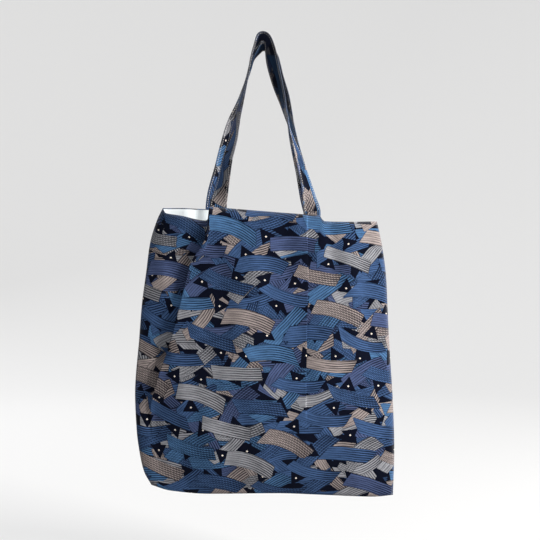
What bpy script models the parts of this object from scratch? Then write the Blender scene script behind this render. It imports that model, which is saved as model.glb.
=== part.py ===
"""Lined cotton tote bag, hanging slack by its two long straps.

Metres, +Z up. X runs along the mouth, the front looks along -Y, and the origin is
the hang point, on the rest that the bights of both straps lie over.
"""

import math

import bmesh
import bpy
from mathutils import Matrix, Vector

# Driving sizes of the body
BODY_WIDTH = 0.383
BODY_HEIGHT = 0.4215
HANG_DROP = 0.2475
BODY_SHIFT = 0.0033
FRONT_BELLY = 0.026
BACK_BELLY = 0.018

# Cloth and seams
OUTER_THICKNESS = 0.0008
LINING_THICKNESS = 0.0006
CLOTH_GAP = 0.0003
LINING_RISE = 0.0008
SEAM_RADIUS = 0.0008
SEAM_CLEARANCE = 0.0005
SEAM_HALF = SEAM_RADIUS + SEAM_CLEARANCE
SEAM_PLACE = SEAM_RADIUS + SEAM_CLEARANCE
LINING_CLEARANCE = 0.0012
SEAM_INSET = SEAM_PLACE + SEAM_RADIUS + LINING_CLEARANCE
SEAM_END = 0.005

# Straps and their sewn-in ends
STRAP_WIDTH = 0.025
STRAP_THICKNESS = 0.0022
STRAP_CLEARANCE = 0.0005
STRAP_STRAIGHT = 0.007
FRONT_ATTACH_LEFT = 0.0644
FRONT_ATTACH_RIGHT = 0.0722
BACK_ATTACH_LEFT = 0.0733
BACK_ATTACH_RIGHT = 0.0740
BIGHT_RADIUS = 0.0065
BIGHT_SPACING = 0.0252
BIGHT_SLOPE = math.radians(15)
FRONT_BIGHT_PLACE = 0.0005
BACK_BIGHT_PLACE = 0.0022
HINGE_CLEARANCE = 0.0003
TAIL_LENGTH = 0.030
TAIL_TRIM = 0.0006
TAIL_FALLOFF = 0.008

# Threads
THREAD_RADIUS = 0.0003
STITCH_GAP = 0.0004
STRAP_STITCH_INSET = 0.0028
MOUTH_STITCH_DROP = 0.0035

# Steps of the meshes
WIDEST_COLUMN = 0.030
PLAIN_ROWS = 12
STRAP_STATIONS = 76
BIGHT_STEPS = 5
SEAM_SIDES = 1
BIGHT_REACH = math.radians(68)
CURVE_STEPS = 12

# Side edges: (height share, sideways share of BODY_WIDTH), bottom to top
LEFT_EDGE_SHARES = (
    (0.0, -0.437),
    (0.05, -0.466),
    (0.12, -0.483),
    (0.20, -0.494),
    (0.33, -0.500),
    (0.53, -0.484),
    (0.65, -0.474),
    (0.77, -0.457),
    (0.87, -0.443),
    (0.96, -0.414),
    (1.0, -0.393),
)
RIGHT_EDGE_SHARES = (
    (0.0, 0.495),
    (0.17, 0.500),
    (0.35, 0.494),
    (0.50, 0.484),
    (0.64, 0.476),
    (0.79, 0.469),
    (0.91, 0.453),
    (1.0, 0.433),
)

# Bottom edge: (width share, height share), left to right
BOTTOM_SHARES = (
    (0.0, 0.033),
    (0.08, 0.013),
    (0.24, 0.002),
    (0.52, 0.004),
    (0.72, -0.002),
    (0.92, -0.008),
    (1.0, -0.002),
)
MOUTH_AXIS_SHARES = (0.24, 0.92)

# Mouth edge: height shares at the straps' outer edges, between which it is taut,
# and (share of the run from the corner to the strap, height share) beside them
FRONT_TAUT_SHARES = (1.0045, 0.974)
FRONT_LEFT_MOUTH_SHARES = ((0.0, 1.004), (0.50, 0.983), (0.89, 0.963))
FRONT_RIGHT_MOUTH_SHARES = ((0.0, 0.957), (0.86, 0.954))
BACK_TAUT_SHARES = (0.998, 0.980)
BACK_LEFT_MOUTH_SHARES = ((0.0, 1.004),)
BACK_RIGHT_MOUTH_SHARES = ((0.0, 0.957),)

# How far the front and back stand out: (height share, share of the belly)
FRONT_DEPTH_SHARES = (
    (0.0, 0.0),
    (0.07, 0.36),
    (0.20, 0.74),
    (0.40, 1.0),
    (0.62, 0.97),
    (0.84, 0.80),
    (1.0, 0.66),
)
BACK_DEPTH_SHARES = (
    (0.0, 0.0),
    (0.07, 0.36),
    (0.20, 0.74),
    (0.45, 0.97),
    (0.70, 0.93),
    (1.0, 0.86),
)
SIDE_ROUNDNESS = 0.85
TAUT_FROM_SHARE = 0.78
UPRIGHT_FROM_SHARE = 0.80
SAG_FROM_SHARE = 0.78

# Creases of the front: width and height share at the top, the same at the foot,
# depth share of the belly, and half width share
PLEAT_SHARES = (0.67, 0.985, 0.66, 0.33, 0.20, 0.05)
DIAGONAL_SHARES = (0.215, 0.985, 0.06, 0.28, 0.22, 0.06)

# Strap arms, mouth to bight: (height share, reach share of the attachment)
FRONT_LEFT_ARM_SHARES = (
    (0.15, 0.885),
    (0.27, 0.80),
    (0.40, 0.665),
    (0.52, 0.575),
    (0.62, 0.48),
    (0.775, 0.335),
    (0.865, 0.265),
    (0.93, 0.190),
)
FRONT_RIGHT_ARM_SHARES = (
    (0.10, 0.945),
    (0.20, 0.86),
    (0.33, 0.725),
    (0.45, 0.585),
    (0.56, 0.475),
    (0.64, 0.405),
    (0.75, 0.292),
    (0.85, 0.205),
    (0.93, 0.150),
)
BACK_LEFT_ARM_SHARES = (
    (0.10, 0.96),
    (0.24, 0.85),
    (0.38, 0.755),
    (0.52, 0.645),
    (0.66, 0.465),
    (0.775, 0.345),
    (0.87, 0.246),
    (0.93, 0.186),
)
BACK_RIGHT_ARM_SHARES = (
    (0.13, 0.895),
    (0.26, 0.785),
    (0.38, 0.68),
    (0.48, 0.605),
    (0.60, 0.54),
    (0.69, 0.475),
    (0.80, 0.352),
    (0.88, 0.285),
    (0.93, 0.235),
)

# Twist of the arms: (height share, degrees). At 90 a strap is edge on to the
# front, and at the mouth it lies flat against its panel.
FRONT_LEFT_TWIST = (
    (0, 180),
    (0.05, 166),
    (0.15, 140),
    (0.4, 125),
    (0.62, 110),
    (0.865, 93),
    (0.93, 90),
    (1, 75),
)
FRONT_RIGHT_TWIST = (
    (0, 180),
    (0.03, 172),
    (0.09, 146),
    (0.2, 128),
    (0.32, 117),
    (0.45, 100),
    (0.56, 84),
    (0.75, 55),
    (0.86, 48),
    (0.93, 56),
    (1, 75),
)
BACK_LEFT_TWIST = (
    (0, 0),
    (0.1, 16),
    (0.24, 36),
    (0.38, 50),
    (0.52, 65),
    (0.66, 80),
    (0.8, 90),
    (0.93, 88),
    (1, 75),
)
BACK_RIGHT_TWIST = (
    (0, 0),
    (0.05, 9),
    (0.13, 31),
    (0.26, 52),
    (0.4, 63),
    (0.6, 72),
    (0.8, 64),
    (0.9, 64),
    (1, 75),
)

# Looks, with linear colours
PRINT_COLOUR = (0.045, 0.075, 0.150, 1.0)
LINING_COLOUR = (0.80, 0.82, 0.84, 1.0)
PALE_THREAD_COLOUR = (0.42, 0.40, 0.38, 1.0)
DARK_THREAD_COLOUR = (0.03, 0.04, 0.07, 1.0)
CLOTH_ROUGHNESS = 0.85
THREAD_ROUGHNESS = 0.7

FRONT = -1
BACK = 1
ACROSS = Vector((0, -1, 0))


def clear_scene():
    for obj in list(bpy.data.objects):
        bpy.data.objects.remove(obj)


def smooth_read(table, at):
    """The table's value here, on a cubic through its points that never overshoots."""
    places = [row[0] for row in table]
    values = [row[1] for row in table]
    if at <= places[0]:
        return values[0]
    if at >= places[-1]:
        return values[-1]
    rises = [
        (values[k + 1] - values[k]) / (places[k + 1] - places[k])
        for k in range(len(table) - 1)
    ]
    k = max(n for n in range(len(rises)) if places[n] <= at)
    start = mean_rise(rises[k - 1], rises[k]) if k > 0 else rises[k]
    end = mean_rise(rises[k], rises[k + 1]) if k < len(rises) - 1 else rises[k]
    step = places[k + 1] - places[k]
    t = (at - places[k]) / step
    return (
        (2 * t**3 - 3 * t**2 + 1) * values[k]
        + (t**3 - 2 * t**2 + t) * step * start
        + (3 * t**2 - 2 * t**3) * values[k + 1]
        + (t**3 - t**2) * step * end
    )


def mean_rise(before, after):
    if before * after <= 0:
        return 0.0
    return 2 * before * after / (before + after)


def straight_read(table, at):
    for (a, low), (b, high) in zip(table, table[1:]):
        if at <= b:
            return low + (high - low) * (at - a) / (b - a)
    return table[-1][1]


def smooth_step(t):
    t = min(max(t, 0), 1)
    return t * t * (3 - 2 * t)


def height(share):
    return -HANG_DROP - (1 - share) * BODY_HEIGHT


def mouth_left():
    return BODY_SHIFT + BODY_WIDTH * LEFT_EDGE_SHARES[-1][1]


def mouth_width():
    return BODY_WIDTH * (RIGHT_EDGE_SHARES[-1][1] - LEFT_EDGE_SHARES[-1][1])


def mouth_share(x):
    """The width share of this X along the mouth."""
    return (x - mouth_left()) / mouth_width()


def attach_places(side):
    """X of the middle of each strap end at the mouth."""
    if side == FRONT:
        return {"left": -FRONT_ATTACH_LEFT, "right": FRONT_ATTACH_RIGHT}
    return {"left": -BACK_ATTACH_LEFT, "right": BACK_ATTACH_RIGHT}


def taut_run(side):
    """Width shares of the mouth's taut run, from one strap's outer edge to the other's."""
    places = attach_places(side)
    half = STRAP_WIDTH / 2
    return mouth_share(places["left"] - half), mouth_share(places["right"] + half)


def mouth_height(side, u):
    """Height share of the mouth edge at this width share."""
    start, end = taut_run(side)
    low, high = FRONT_TAUT_SHARES if side == FRONT else BACK_TAUT_SHARES
    if u < start:
        table = FRONT_LEFT_MOUTH_SHARES if side == FRONT else BACK_LEFT_MOUTH_SHARES
        return straight_read(table + ((1.0, low),), u / start)
    if u > end:
        table = FRONT_RIGHT_MOUTH_SHARES if side == FRONT else BACK_RIGHT_MOUTH_SHARES
        return straight_read(table + ((1.0, high),), (1 - u) / (1 - end))
    return low + (high - low) * (u - start) / (end - start)


def crease(u, v, shares):
    """How deep this crease is here, from 0 to 1."""
    top_u, top_v, foot_u, foot_v, _, half_width = shares
    along = (top_v - v) / (top_v - foot_v)
    if along <= 0 or along >= 1:
        return 0.0
    across = abs(u - (top_u + (foot_u - top_u) * along)) / half_width
    if across >= 1:
        return 0.0
    return math.sqrt(math.sin(math.pi * along)) * (0.5 + 0.5 * math.cos(math.pi * across))


def stand_out(side, u, v):
    """How far the cloth stands out from its seams, as a share of its side's belly."""
    body = math.sin(math.pi * min(max(u, 0), 1)) ** SIDE_ROUNDNESS
    start, end = taut_run(side)
    nearest = min(u / start, (1 - u) / (1 - end), 1)
    mouth = math.sin(math.pi / 2 * max(nearest, 0)) ** SIDE_ROUNDNESS
    taut = smooth_step((v - TAUT_FROM_SHARE) / (1 - TAUT_FROM_SHARE))
    lens = body + (mouth - body) * taut
    table = FRONT_DEPTH_SHARES if side == FRONT else BACK_DEPTH_SHARES
    share = smooth_read(table, v) * lens
    if side == FRONT:
        depth = sum(s[4] * crease(u, v, s) for s in (PLEAT_SHARES, DIAGONAL_SHARES))
        share -= lens * depth * (1 - over_tail(side, u, v))
    return share


def cloth_x(side, u, v):
    """X at these shares. Beside the strap ends the cloth between them hangs upright."""
    left = smooth_read(LEFT_EDGE_SHARES, v) - LEFT_EDGE_SHARES[-1][1]
    right = smooth_read(RIGHT_EDGE_SHARES, v) - RIGHT_EDGE_SHARES[-1][1]
    start, end = taut_run(side)
    upright_to = 1 - TAIL_LENGTH / BODY_HEIGHT
    upright = smooth_step((v - UPRIGHT_FROM_SHARE) / (upright_to - UPRIGHT_FROM_SHARE))
    with_left = (1 - upright) * (1 - u) + upright * max(0, 1 - u / start)
    with_right = (1 - upright) * u + upright * max(0, (u - end) / (1 - end))
    return mouth_left() + mouth_width() * u + BODY_WIDTH * (left * with_left + right * with_right)


def cloth_z(side, u, v):
    """Z at these shares. The sags and steps of the mouth edge die away below it."""
    foot = smooth_read(BOTTOM_SHARES, u)
    plain = mouth_height(side, 0) * (1 - u) + mouth_height(side, 1) * u
    near = smooth_step((v - SAG_FROM_SHARE) / (1 - SAG_FROM_SHARE))
    return height(foot + (plain - foot) * v + (mouth_height(side, u) - plain) * near)


def cloth_point(side, u, v):
    """A point of the outer cloth's inner face, at these shares of its width and height."""
    belly = FRONT_BELLY if side == FRONT else BACK_BELLY
    return Vector(
        (
            cloth_x(side, u, v),
            side * (SEAM_HALF + belly * stand_out(side, u, v)),
            cloth_z(side, u, v),
        )
    )


def fill_between(shares, widest):
    """The shares, with more put between any two that are further apart than widest."""
    filled = [shares[0]]
    for share in shares[1:]:
        start = filled[-1]
        steps = max(1, math.ceil((share - start) / widest))
        filled += [start + (share - start) * n / steps for n in range(1, steps + 1)]
    return filled


def columns(side):
    """Width shares of the cloth's columns: its edges, those of the strap ends, and steps between."""
    half = STRAP_WIDTH / 2
    steps = [0.0]
    for middle in attach_places(side).values():
        for off in (-half - TAIL_FALLOFF, -half, 0, half, half + TAIL_FALLOFF):
            steps.append(mouth_share(middle + off))
    steps.append(1.0)
    return fill_between(steps, WIDEST_COLUMN / mouth_width())


def rows():
    """Height shares of the cloth's rows, bottom to top, with those of the strap ends near the mouth."""
    below = (TAIL_LENGTH + TAIL_FALLOFF, TAIL_LENGTH, TAIL_LENGTH / 2, 0)
    upper = [1 - drop / BODY_HEIGHT for drop in below]
    return [upper[0] * n / PLAIN_ROWS for n in range(PLAIN_ROWS)] + upper


def over_tail(side, u, v):
    """1 where a strap end lies under the lining, falling to 0 beside and below it."""
    most = 0.0
    for middle in attach_places(side).values():
        sideways = abs(u - mouth_share(middle)) * mouth_width() - STRAP_WIDTH / 2
        below = (1 - v) * BODY_HEIGHT - TAIL_LENGTH
        most = max(most, 1 - (max(sideways, 0) + max(below, 0)) / TAIL_FALLOFF)
    return most


def moved(point, towards, by):
    """The point, moved this far towards another."""
    step = towards - point
    return point + step * (by / step.length)


def inwards(side, point, by):
    """The point, moved this far towards the inside of the bag."""
    return point - Vector((0, side * by, 0))


def outer_points(side):
    return [[cloth_point(side, u, v) for u in columns(side)] for v in rows()]


def lining_points(side):
    """The lining's outer face: inside the outer, short of the seams, and round the strap ends."""
    points = outer_points(side)
    top = [moved(high, low, -LINING_RISE) for high, low in zip(points[-1], points[-2])]
    foot = [moved(low, high, SEAM_INSET) for low, high in zip(points[0], points[1])]
    points = [foot] + points[1:-1] + [top]
    for row in points:
        row[0], row[-1] = moved(row[0], row[1], SEAM_INSET), moved(row[-1], row[-2], SEAM_INSET)
    for row, v in zip(points, rows()):
        for n, u in enumerate(columns(side)):
            gap = CLOTH_GAP + (STRAP_THICKNESS + CLOTH_GAP) * over_tail(side, u, v)
            row[n] = inwards(side, row[n], gap)
    return points


def tail_points(side, middle):
    """The outer face of one sewn-in strap end, between outer and lining."""
    half = STRAP_WIDTH / 2
    shares = [mouth_share(middle + off) for off in (-half, 0, half)]
    low, mid, high = (
        [cloth_point(side, u, 1 - drop / BODY_HEIGHT) for u in shares]
        for drop in (TAIL_LENGTH, TAIL_LENGTH / 2, 0)
    )
    high = [moved(a, b, TAIL_TRIM) for a, b in zip(high, mid)]
    return [[inwards(side, point, CLOTH_GAP) for point in row] for row in (low, mid, high)]


def facing_out(side, points):
    """The rows of points, turned so that a sheet made from them faces out of the bag."""
    return points if side == FRONT else [list(reversed(row)) for row in points]


def strap_end(side, middle):
    """The middle of a strap's thickness at the mouth edge."""
    point = cloth_point(side, mouth_share(middle), 1)
    return inwards(side, point, CLOTH_GAP + STRAP_THICKNESS / 2)


def mouth_direction(side):
    """Along the taut run of the mouth, to the right."""
    places = attach_places(side)
    return (strap_end(side, places["right"]) - strap_end(side, places["left"])).normalized()


def bight_middle(side):
    """The top of the strap's middle line."""
    out = side * BIGHT_SPACING / 2
    place = FRONT_BIGHT_PLACE if side == FRONT else BACK_BIGHT_PLACE
    return Vector((place, out, -out * math.tan(BIGHT_SLOPE) + STRAP_THICKNESS / 2))


def arm_points(side, end, shares):
    """A strap arm's middle line, from the mouth up to its bight."""
    up = ACROSS.cross(mouth_direction(side))
    start = end + up * STRAP_CLEARANCE
    points = [start, start + up * STRAP_STRAIGHT]
    top = bight_middle(side)
    for high, reach in shares:
        y = end.y + (top.y - end.y) * smooth_step(high)
        points.append(Vector((end.x * reach, y, end.z + (top.z - end.z) * high)))
    return points


def bight_points(side):
    """The bend over the rest, left to right."""
    top = bight_middle(side)
    radius = BIGHT_RADIUS + STRAP_THICKNESS / 2
    points = []
    for n in range(BIGHT_STEPS):
        angle = BIGHT_REACH * (2 * n / (BIGHT_STEPS - 1) - 1)
        points.append(top + Vector((radius * math.sin(angle), 0, radius * (math.cos(angle) - 1))))
    return points


def smooth_line(points):
    """A smooth curve through the points, finely stepped."""
    padded = [2 * points[0] - points[1]] + points + [2 * points[-1] - points[-2]]
    line = []
    for a, b, c, d in zip(padded, padded[1:], padded[2:], padded[3:]):
        for n in range(CURVE_STEPS):
            line.append(curve_between(a, b, c, d, n / CURVE_STEPS))
    return line + [points[-1]]


def curve_between(a, b, c, d, t):
    """Centripetal Catmull-Rom from b to c."""
    knots = [0.0]
    for p, q in ((a, b), (b, c), (c, d)):
        knots.append(knots[-1] + math.sqrt((q - p).length))
    at = knots[1] + (knots[2] - knots[1]) * t

    def between(p, q, low, high):
        return p.lerp(q, (at - knots[low]) / (knots[high] - knots[low]))

    ab, bc, cd = between(a, b, 0, 1), between(b, c, 1, 2), between(c, d, 2, 3)
    return between(between(ab, bc, 0, 2), between(bc, cd, 1, 3), 1, 2)


def strap_frames(side):
    """(middle, width direction, outward direction) finely along one strap, left end to right."""
    ends = {name: strap_end(side, x) for name, x in attach_places(side).items()}
    if side == FRONT:
        arms = {"left": FRONT_LEFT_ARM_SHARES, "right": FRONT_RIGHT_ARM_SHARES}
        twists = {"left": FRONT_LEFT_TWIST, "right": FRONT_RIGHT_TWIST}
    else:
        arms = {"left": BACK_LEFT_ARM_SHARES, "right": BACK_RIGHT_ARM_SHARES}
        twists = {"left": BACK_LEFT_TWIST, "right": BACK_RIGHT_TWIST}
    left = arm_points(side, ends["left"], arms["left"])
    right = arm_points(side, ends["right"], arms["right"])
    middles = smooth_line(left + bight_points(side) + right[::-1])
    frames = []
    for n, middle in enumerate(middles):
        along = (middles[min(n + 1, len(middles) - 1)] - middles[max(n - 1, 0)]).normalized()
        arm = "left" if middle.x < 0 else "right"
        climbed = (middle.z - ends[arm].z) / (bight_middle(side).z - ends[arm].z)
        twist = math.radians(smooth_read(twists[arm], climbed))
        width = Vector((-along.z, 0, along.x)) * math.cos(twist) + ACROSS * math.sin(twist)
        width = (width - along * width.dot(along)).normalized()
        frames.append((middle, width, width.cross(along)))
    return frames


def strap_stations(side):
    """The frames at even steps, where turning counts as length, so that bends get more of them."""
    frames = strap_frames(side)
    gone = [0.0]
    for (a, width_a, out_a), (b, width_b, out_b) in zip(frames, frames[1:]):
        turned = width_a.angle(width_b, 0) + out_a.angle(out_b, 0)
        gone.append(gone[-1] + (b - a).length + STRAP_WIDTH * turned)
    stations = []
    k = 0
    for n in range(STRAP_STATIONS):
        at = gone[-1] * n / (STRAP_STATIONS - 1)
        while k < len(frames) - 2 and gone[k + 1] < at:
            k += 1
        share = (at - gone[k]) / (gone[k + 1] - gone[k])
        stations.append(tuple(a.lerp(b, share) for a, b in zip(frames[k], frames[k + 1])))
    return stations


def strap_points(side):
    """The strap's middle sheet."""
    half = STRAP_WIDTH / 2
    return [[m - w * half, m, m + w * half] for m, w, _ in strap_stations(side)]


def strap_stitch_points(side, edge):
    """A line of thread on the strap's outward face, along one edge."""
    off = edge * (STRAP_WIDTH / 2 - STRAP_STITCH_INSET)
    lift = STRAP_THICKNESS / 2 + STITCH_GAP + THREAD_RADIUS
    return [m + w * off + out * lift for m, w, out in strap_stations(side)[1:-1]]


def mouth_stitch_points(side):
    """A line of thread on the outer's face, just under the mouth edge."""
    lift = OUTER_THICKNESS + CLOTH_GAP + THREAD_RADIUS
    below, top = outer_points(side)[-2:]
    line = [moved(a, b, MOUTH_STITCH_DROP) for a, b in zip(top, below)]
    points = []
    for n, point in enumerate(line):
        along = line[min(n + 1, len(line) - 1)] - line[max(n - 1, 0)]
        out = along.cross(top[n] - below[n]).normalized() * -side
        points.append(point + out * lift)
    return points[1:-1]


def side_seam_points(name):
    """The middle of a side seam, foot to mouth."""
    u, inside = (0, 1) if name == "left" else (1, -1)
    edges = [cloth_point(BACK, u, v) for v in rows()]
    points = [Vector((edge.x + inside * SEAM_PLACE, 0, edge.z)) for edge in edges]
    points[0] = moved(points[0], points[1], SEAM_END)
    return points


def bottom_seam_points():
    """The middle of the bottom seam, left to right."""
    edges = [cloth_point(BACK, u, 0) for u in columns(BACK)]
    points = [Vector((edge.x, 0, edge.z + SEAM_PLACE)) for edge in edges]
    ends = moved(points[0], points[1], SEAM_END), moved(points[-1], points[-2], SEAM_END)
    return [ends[0], *points[1:-1], ends[1]]


def new_sheet(name, points, material, collection):
    """An open sheet whose grid takes these rows of points. It faces along its rows crossed with its columns."""
    sheet = bmesh.new()
    across, along = len(points[0]) - 1, len(points) - 1
    bmesh.ops.create_grid(sheet, x_segments=across, y_segments=along, size=1)
    ordered = sorted(sheet.verts, key=lambda vert: (round(vert.co.y, 4), vert.co.x))
    for vert, point in zip(ordered, (point for row in points for point in row)):
        vert.co = point
    # One split for every sheet, so that neighbours stay alongside each other
    bmesh.ops.triangulate(sheet, faces=sheet.faces, quad_method="FIXED")
    mesh = bpy.data.meshes.new(name)
    sheet.to_mesh(mesh)
    sheet.free()
    mesh.materials.append(material)
    mesh.shade_smooth()
    obj = bpy.data.objects.new(name, mesh)
    collection.objects.link(obj)
    return obj


def thicken(obj, thickness, offset):
    """Makes an open sheet solid: offset 1 adds the thickness in front of it, -1 behind it."""
    solid = obj.modifiers.new("thickness", "SOLIDIFY")
    solid.thickness = thickness
    solid.offset = offset
    solid.use_even_offset = True


def new_thread(name, points, radius, sides, material, collection):
    """A round thread or cord through these points."""
    curve = bpy.data.curves.new(name, "CURVE")
    curve.dimensions = "3D"
    curve.bevel_depth = radius
    curve.bevel_resolution = sides
    curve.use_fill_caps = True
    line = curve.splines.new("POLY")
    line.points.add(len(points) - 1)
    for knot, point in zip(line.points, points):
        knot.co = (*point, 1)
    curve.materials.append(material)
    obj = bpy.data.objects.new(name, curve)
    collection.objects.link(obj)
    return obj


def new_material(name, colour, roughness):
    material = bpy.data.materials.new(name)
    material.use_nodes = True
    shader = material.node_tree.nodes["Principled BSDF"]
    shader.inputs["Base Color"].default_value = colour
    shader.inputs["Roughness"].default_value = roughness
    shader.inputs["Metallic"].default_value = 0
    return material


def new_hinge(name, at, collection, parent=None):
    """An empty on a joint's axis, hung on the one that carries it."""
    hinge = bpy.data.objects.new(name, None)
    collection.objects.link(hinge)
    hinge.location = at - (parent.matrix_world.translation if parent else Vector())
    hinge.parent = parent
    bpy.context.view_layer.update()
    return hinge


def carry(obj, hinge):
    """Gives the object its origin on the hinge, and hangs it there."""
    obj.data.transform(Matrix.Translation(-hinge.matrix_world.translation))
    obj.parent = hinge


def mouth_hinge_place():
    """Under the middle of the bottom seam, about which the front half opens."""
    low, high = (cloth_point(FRONT, u, 0) for u in MOUTH_AXIS_SHARES)
    middle = (low + high) / 2
    return Vector((middle.x, 0, middle.z))


def strap_hinge_place(side):
    """On the outer's face at the mouth edge, half way between the strap's ends."""
    places = attach_places(side)
    middle = (strap_end(side, places["left"]) + strap_end(side, places["right"])) / 2
    face = CLOTH_GAP + STRAP_THICKNESS / 2 + OUTER_THICKNESS + HINGE_CLEARANCE
    return inwards(side, middle, -face)


def build_half(side, label, hinge, collection):
    """One side of the body: outer, lining, sewn-in strap ends and mouth stitching."""
    made = []
    outer = new_sheet(
        f"outer_{label}_panel",
        facing_out(side, outer_points(side)),
        new_material(f"outer_{label}", PRINT_COLOUR, CLOTH_ROUGHNESS),
        collection,
    )
    thicken(outer, OUTER_THICKNESS, 1)
    made.append(outer)
    lining = new_sheet(
        f"lining_{label}_panel",
        facing_out(side, lining_points(side)),
        new_material(f"lining_{label}", LINING_COLOUR, CLOTH_ROUGHNESS),
        collection,
    )
    thicken(lining, LINING_THICKNESS, -1)
    made.append(lining)
    for end, middle in attach_places(side).items():
        tail = new_sheet(
            f"{label}_strap_{end}_sewn_end",
            facing_out(side, tail_points(side, middle)),
            new_material(f"{label}_strap_{end}_sewn_end", PRINT_COLOUR, CLOTH_ROUGHNESS),
            collection,
        )
        thicken(tail, STRAP_THICKNESS, -1)
        made.append(tail)
    made.append(
        new_thread(
            f"mouth_stitching_{label}",
            mouth_stitch_points(side),
            THREAD_RADIUS,
            0,
            new_material(f"mouth_stitching_{label}", DARK_THREAD_COLOUR, THREAD_ROUGHNESS),
            collection,
        )
    )
    for obj in made:
        carry(obj, hinge)


def build_strap(side, label, hinge, collection):
    strap = new_sheet(
        f"{label}_strap",
        strap_points(side),
        new_material(f"{label}_strap", PRINT_COLOUR, CLOTH_ROUGHNESS),
        collection,
    )
    thicken(strap, STRAP_THICKNESS, 0)
    carry(strap, hinge)
    for edge, place in ((-1, "far"), (1, "near")):
        thread = new_thread(
            f"{label}_strap_stitching_{place}",
            strap_stitch_points(side, edge),
            THREAD_RADIUS,
            0,
            new_material(f"{label}_strap_stitching_{place}", PALE_THREAD_COLOUR, THREAD_ROUGHNESS),
            collection,
        )
        carry(thread, hinge)


def build_seams(hinge, collection):
    lines = {
        "side_seam_left": side_seam_points("left"),
        "side_seam_right": side_seam_points("right"),
        "bottom_seam": bottom_seam_points(),
    }
    for name, points in lines.items():
        material = new_material(name, DARK_THREAD_COLOUR, THREAD_ROUGHNESS)
        seam = new_thread(name, points, SEAM_RADIUS, SEAM_SIDES, material, collection)
        carry(seam, hinge)


def main():
    clear_scene()
    collection = bpy.data.collections.new("tote_bag")
    bpy.context.scene.collection.children.link(collection)
    rest = new_hinge("hang_point", Vector(), collection)
    mouth_hinge = new_hinge("mouth_hinge", mouth_hinge_place(), collection, rest)
    front_hinge = new_hinge("front_strap_hinge", strap_hinge_place(FRONT), collection, mouth_hinge)
    back_hinge = new_hinge("back_strap_hinge", strap_hinge_place(BACK), collection, rest)
    build_half(FRONT, "front", mouth_hinge, collection)
    build_half(BACK, "back", rest, collection)
    build_seams(rest, collection)
    build_strap(FRONT, "front", front_hinge, collection)
    build_strap(BACK, "back", back_hinge, collection)


main()
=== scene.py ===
import math
from bisect import bisect_left, bisect_right

import bmesh
import bpy
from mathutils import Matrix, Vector
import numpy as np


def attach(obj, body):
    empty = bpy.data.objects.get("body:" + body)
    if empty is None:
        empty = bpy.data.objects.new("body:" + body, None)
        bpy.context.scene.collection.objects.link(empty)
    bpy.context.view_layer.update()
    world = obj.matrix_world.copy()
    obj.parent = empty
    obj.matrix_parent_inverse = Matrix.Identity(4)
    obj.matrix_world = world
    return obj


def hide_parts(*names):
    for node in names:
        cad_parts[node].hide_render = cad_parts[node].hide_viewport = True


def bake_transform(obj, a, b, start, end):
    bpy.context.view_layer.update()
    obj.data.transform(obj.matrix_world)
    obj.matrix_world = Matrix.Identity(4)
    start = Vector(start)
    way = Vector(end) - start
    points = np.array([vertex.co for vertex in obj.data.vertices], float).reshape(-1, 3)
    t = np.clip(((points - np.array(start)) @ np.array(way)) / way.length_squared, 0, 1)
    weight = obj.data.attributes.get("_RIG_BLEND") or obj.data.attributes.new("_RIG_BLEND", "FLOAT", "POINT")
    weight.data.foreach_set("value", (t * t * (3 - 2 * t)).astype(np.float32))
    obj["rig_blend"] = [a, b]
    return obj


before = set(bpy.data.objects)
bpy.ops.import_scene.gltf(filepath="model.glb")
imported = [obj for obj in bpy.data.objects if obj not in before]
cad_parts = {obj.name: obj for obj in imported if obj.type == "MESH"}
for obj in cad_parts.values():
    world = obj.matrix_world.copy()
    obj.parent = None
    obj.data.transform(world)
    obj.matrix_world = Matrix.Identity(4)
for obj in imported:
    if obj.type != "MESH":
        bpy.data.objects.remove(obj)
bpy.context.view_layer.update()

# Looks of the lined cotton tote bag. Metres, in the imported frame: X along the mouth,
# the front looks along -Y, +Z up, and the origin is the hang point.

FRONT = -1
BACK = 1
SIDES = {FRONT: "front", BACK: "back"}
ACROSS = Vector((0, -1, 0))

# Driving sizes of the body and the straps, as in the part
BODY_WIDTH = 0.383
BODY_HEIGHT = 0.4215
HANG_DROP = 0.2475
BODY_SHIFT = 0.0033
BELLY = {FRONT: 0.026, BACK: 0.018}
STRAP_WIDTH = 0.025
STRAP_THICKNESS = 0.0022
ATTACH_PLACES = {
    FRONT: {"left": -0.0644, "right": 0.0722},
    BACK: {"left": -0.0733, "right": 0.0740},
}
BIGHT_RADIUS = 0.0065
BIGHT_SPACING = 0.0252
BIGHT_SLOPE = math.radians(15)
BIGHT_PLACE = {FRONT: 0.0005, BACK: 0.0022}
STRAP_CLEARANCE = 0.0005
TAIL_LENGTH = 0.030
CLOTH_GAP = 0.0003

# Cloth as it is dressed: the outer is centred between the faces of its solid
OUTER_THICKNESS = 0.0007
LINING_THICKNESS = 0.0006
OUTER_LIFT = 0.0004
LINING_SINK = 0.0006
LINING_DROP = 0.0015
TAIL_FALLOFF = 0.014
STRAP_STRAIGHTS = {"left": 0.007, "right": 0.003}
EDGE_HALF = 0.0005
EDGE_ROLL = 0.0013
EDGE_ROLL_REACH = 0.0012
LINING_INSET = 0.0013
MOUTH_ROLL = 0.0003
MOUTH_ROLL_REACH = 0.0015

# Mesh steps
COLUMN_STEP = 0.0032
ROW_STEP = 0.0032
FOLD_OFFSETS = (0.0004, 0.0009, 0.0014, 0.0020, 0.0028, 0.0040, 0.0056)
STRAP_STEP = 0.0016
BIGHT_STEPS = 5
BIGHT_REACH = math.radians(68)
CURVE_STEPS = 12
TAIL_STEPS = 8
SHORTEST_STEP = 1e-9

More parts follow.
